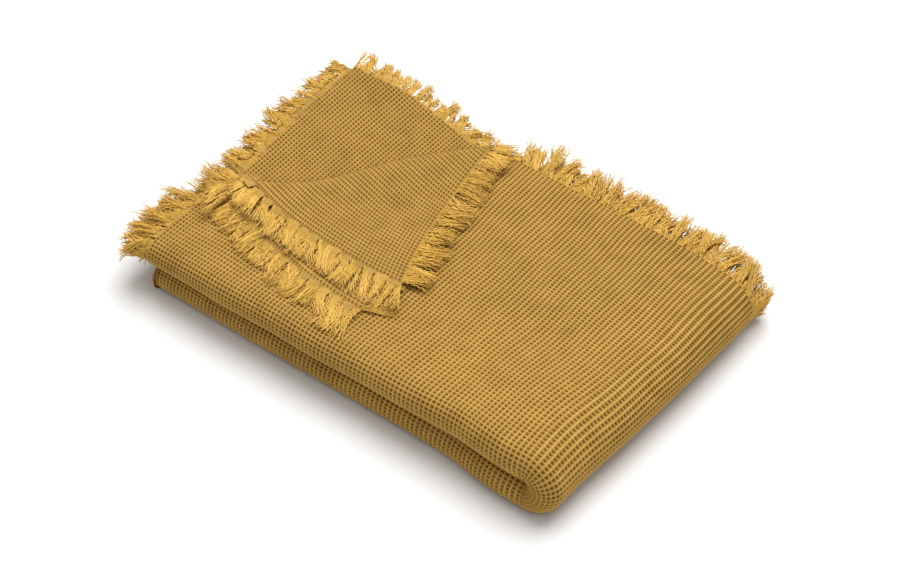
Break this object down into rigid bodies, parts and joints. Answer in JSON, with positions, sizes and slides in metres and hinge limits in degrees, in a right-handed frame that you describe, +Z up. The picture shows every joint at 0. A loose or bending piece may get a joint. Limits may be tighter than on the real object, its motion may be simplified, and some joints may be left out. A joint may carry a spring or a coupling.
{
  "type": "folded throw blanket",
  "caption": "Fringed waffle-weave throw folded into a flat stack with the corner of its top leaves turned back on a diagonal fold.",
  "frame": {"origin": "on the underside of the folded stack, below the middle of its footprint without the fringes", "axes": "+X along the long side from the fringed left edge to the thick end wrap, +Y from the two near rolls to the fringed far side, +Z up"},
  "size_m": [0.53, 0.349, 0.0719],
  "materials": {
    "waffle_cotton": "matte waffle-woven cotton, mustard ochre",
    "header_cotton": "matte plain-woven cotton band",
    "selvedge_cotton": "matte corded cotton edge",
    "fringe_yarn": "loose crinkled cotton yarn, brighter than the weave"
  },
  "bodies": {
    "folded_stack": {"end_wrap": "waffle_cotton", "end_wrap_selvedge_fringe": "fringe_yarn", "fourth_leaf": "waffle_cotton", "fourth_leaf_header_band": "header_cotton", "fourth_leaf_header_fringe": "fringe_yarn", "fourth_leaf_selvedge": "selvedge_cotton", "fourth_leaf_selvedge_fringe": "fringe_yarn", "lower_pack": "waffle_cotton", "lower_pack_selvedge_fringe": "fringe_yarn", "near_lower_roll": "waffle_cotton", "near_upper_roll": "waffle_cotton", "second_leaf": "waffle_cotton", "second_leaf_header_band": "header_cotton", "second_leaf_header_fringe": "fringe_yarn", "second_leaf_selvedge": "selvedge_cotton", "second_leaf_selvedge_fringe": "fringe_yarn", "third_leaf": "waffle_cotton", "third_leaf_header_band": "header_cotton", "third_leaf_header_fringe": "fringe_yarn", "third_leaf_selvedge": "selvedge_cotton", "third_leaf_selvedge_fringe": "fringe_yarn", "top_leaf": "waffle_cotton", "top_leaf_header_band": "header_cotton", "top_leaf_header_fringe": "fringe_yarn", "top_leaf_selvedge": "selvedge_cotton", "top_leaf_selvedge_fringe": "fringe_yarn", "upper_pack": "waffle_cotton", "upper_pack_header_fringe": "fringe_yarn", "upper_roll_header_fringe": "fringe_yarn"},
    "turned_corner": {"lower_flap": "waffle_cotton", "lower_flap_header_band": "header_cotton", "lower_flap_header_fringe": "fringe_yarn", "lower_flap_selvedge": "selvedge_cotton", "lower_flap_selvedge_fringe": "fringe_yarn", "turned_corner_fold": "waffle_cotton", "upper_flap": "waffle_cotton", "upper_flap_header_band": "header_cotton", "upper_flap_header_fringe": "fringe_yarn", "upper_flap_selvedge": "selvedge_cotton", "upper_flap_selvedge_fringe": "fringe_yarn"}
  },
  "joints": [
    {"name": "turned_corner_fold", "type": "hinge", "parent": "folded_stack", "child": "turned_corner", "pos_m": [-0.1375, 0.05, 0.064], "axis": [-0.7071, -0.7071, 0], "range_deg": [0, 150]}
  ]
}
